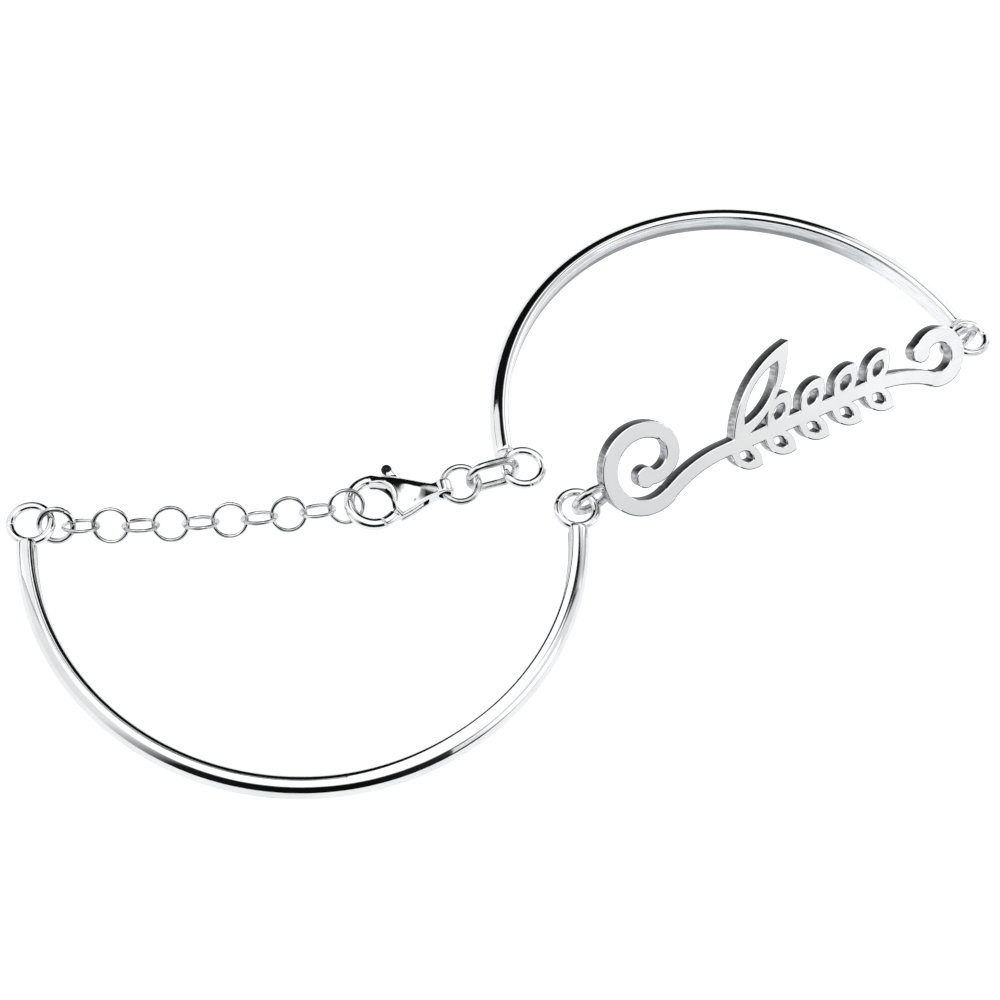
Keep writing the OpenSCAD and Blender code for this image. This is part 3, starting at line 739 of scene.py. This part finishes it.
claspLever = castPiece(copyNode("clasp_lever"), "claspLever", lever)
thinPiece(claspLever, leverShare)
coatPiece(claspLever, [castSilver, knobPaintedShade, paintedShadeSilver], leverFinish)
finishPiece(claspLever, "clasp_gate", ["clasp_lever"])

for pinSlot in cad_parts["clasp_pin"].material_slots:
    pinSlot.link = "OBJECT"
    pinSlot.material = castSilver
print("stage: clasp")


# Floor: a painted glow, evenly pale to the camera, and a little darker in the metal's reflections, where it fades
# from the middle outwards

stage = dict(half=3.0, albedo=0.5, rough=0.9, nearTo=0.06, farFrom=0.25, nearGlow=0.62, farGlow=0.4,
             seenGlow=0.95, tint=(0.975, 0.99, 1.0))


def paleFloor():
    made = bpy.data.materials.new("paleFloor")
    made.use_nodes = True
    tree = made.node_tree
    shader = tree.nodes["Principled BSDF"]
    shader.inputs["Base Color"].default_value = (stage["albedo"],) * 3 + (1,)
    shader.inputs["Roughness"].default_value = stage["rough"]
    shader.inputs["Specular IOR Level"].default_value = 0.0
    shader.inputs["Emission Color"].default_value = (*stage["tint"], 1)
    place = put(tree, "ShaderNodeTexCoord").outputs["Object"]
    away = put(tree, "ShaderNodeVectorMath", {0: place}, operation="LENGTH").outputs["Value"]
    glow = remap(tree, away, (stage["nearTo"], stage["farFrom"]), (stage["nearGlow"], stage["farGlow"]), soft=True)
    seen = put(tree, "ShaderNodeLightPath").outputs["Is Camera Ray"]
    shown = put(tree, "ShaderNodeMix", {"Factor": seen, 2: glow, 3: stage["seenGlow"]}, data_type="FLOAT")
    tree.links.new(shown.outputs[0], shader.inputs["Emission Strength"])
    return made


floorMesh = bpy.data.meshes.new("floor")
floorMesh.from_pydata([(x * stage["half"], y * stage["half"], 0) for x, y in ((-1, -1), (1, -1), (1, 1), (-1, 1))],
                      [], [(0, 1, 2, 3)])
floorMesh.materials.append(paleFloor())
floor = addObject("floor", floorMesh)


# Studio: a white ceiling over dark walls with pale windows

studio = dict(ceiling=1.2, ceilingBlend=0.09, seen=1.0)
# Walls: a direction in degrees from the back to the right, and its brightness
walls = [(-180, 0.004), (-152, 0.01), (-128, 0.8), (-90, 0.85), (-77, 0.005), (33, 0.004), (60, 0.01),
         (66, 0.8), (100, 0.7), (116, 0.02), (150, 0.004)]
# Edges: a direction in the same degrees, and the height where the ceiling starts
edges = [(-180, 0.76), (-80, 0.74), (-66, 0.85), (-14, 0.85), (-6, 0.74), (14, 0.74), (24, 0.86), (42, 0.86),
         (50, 0.74), (180, 0.76)]
world = bpy.data.worlds.new("studio")
bpy.context.scene.world = world
world.use_nodes = True
sky = world.node_tree
aim = put(sky, "ShaderNodeSeparateXYZ", {0: put(sky, "ShaderNodeTexCoord").outputs["Generated"]}).outputs
bearing = remap(sky, calc(sky, "ARCTAN2", aim[0], aim[1]), (-math.pi, math.pi))


def ringRamp(table):
    ramp = put(sky, "ShaderNodeValToRGB", {"Fac": bearing})
    stops = ramp.color_ramp.elements
    while len(stops) < len(table):
        stops.new(1.0)
    for stop, (direction, value) in zip(stops, table):
        stop.position = (direction + 180) / 360
        stop.color = (value, value, value, 1)
    return ramp.outputs[0]


above = calc(sky, "SUBTRACT", aim[2], ringRamp(edges))
overhead = remap(sky, above, (0.0, studio["ceilingBlend"]), soft=True)
level = put(sky, "ShaderNodeMix", {"Factor": overhead, 2: ringRamp(walls), 3: studio["ceiling"]},
            data_type="FLOAT").outputs[0]
seen = put(sky, "ShaderNodeLightPath").outputs["Is Camera Ray"]
shown = put(sky, "ShaderNodeMix", {"Factor": seen, 2: level, 3: studio["seen"]}, data_type="FLOAT").outputs[0]
sky.links.new(shown, sky.nodes["Background"].inputs["Strength"])
sky.nodes["Background"].inputs["Color"].default_value = (1, 1, 1, 1)


# Soft white cards near the metal, each for the piece that it is aimed at

def addCard(name, card):
    lamp = bpy.data.lights.new(name, "AREA")
    lamp.shape = "RECTANGLE"
    lamp.size, lamp.size_y = card["wide"] * mm, card["tall"] * mm
    lamp.energy = card["level"] * math.pi * lamp.size * lamp.size_y
    lamp.spread = math.radians(card["spread"])
    made = addObject(name, lamp)
    out = (Vector(card["place"]) - Vector(card["aim"])).normalized()
    across = Vector(card["side"])
    across = (across - out * across.dot(out)).normalized()
    made.matrix_world = Matrix.Translation([v * mm for v in card["place"]]) @ Matrix(
        (across, out.cross(across), out)).transposed().to_4x4()
    made.visible_camera = False


cards = dict(
    plateCard=dict(wide=75, tall=40, level=0.76, spread=180, place=(75, -29, 33), aim=(20, 9, 3.6),
                   side=plateAlong),
    leftCard=dict(wide=56, tall=80, level=0.9, spread=180, place=(-84, 16, 42), aim=(-36, -10, 1), side=(0, 1, 0)),
    endCard=dict(wide=32, tall=26, level=0.9, spread=180, place=(44, 45, 14), aim=(31, 23, 1), side=(1, -1, 0)),
    rightCard=dict(wide=36, tall=44, level=0.085, spread=60, place=(40, 27, 20), aim=(6, -4, 1), side=(0, 1, 0)),
    claspCard=dict(wide=34, tall=28, level=0.07, spread=50, place=(16, 30, 29), aim=(0, -1, 1.5), side=(1, 0, 0)))
for name, card in cards.items():
    addCard(name, card)


# Camera: distances in millimetres, angles in degrees

view = dict(target=(-0.98, -2.313, 0.0), distance=138.79, elevation=60.44, roll=10.4, focal=64.19, sensor=36.0,
            near=0.005, far=10.0)
camera = bpy.data.cameras.new("camera")
camera.sensor_width = view["sensor"]
camera.lens = view["focal"]
camera.clip_start = view["near"]
camera.clip_end = view["far"]
cameraObject = addObject("camera", camera)
up = math.radians(view["elevation"])
behind = Vector((0, -math.cos(up), math.sin(up)))
cameraObject.matrix_world = (
    Matrix.Translation((Vector(view["target"]) + behind * view["distance"]) * mm)
    @ Matrix.Rotation(math.pi / 2 - up, 4, "X") @ Matrix.Rotation(math.radians(view["roll"]), 4, "Z"))
bpy.context.scene.camera = cameraObject
bpy.context.scene.view_settings.view_transform = "Standard"
print("stage: floor, light and camera")
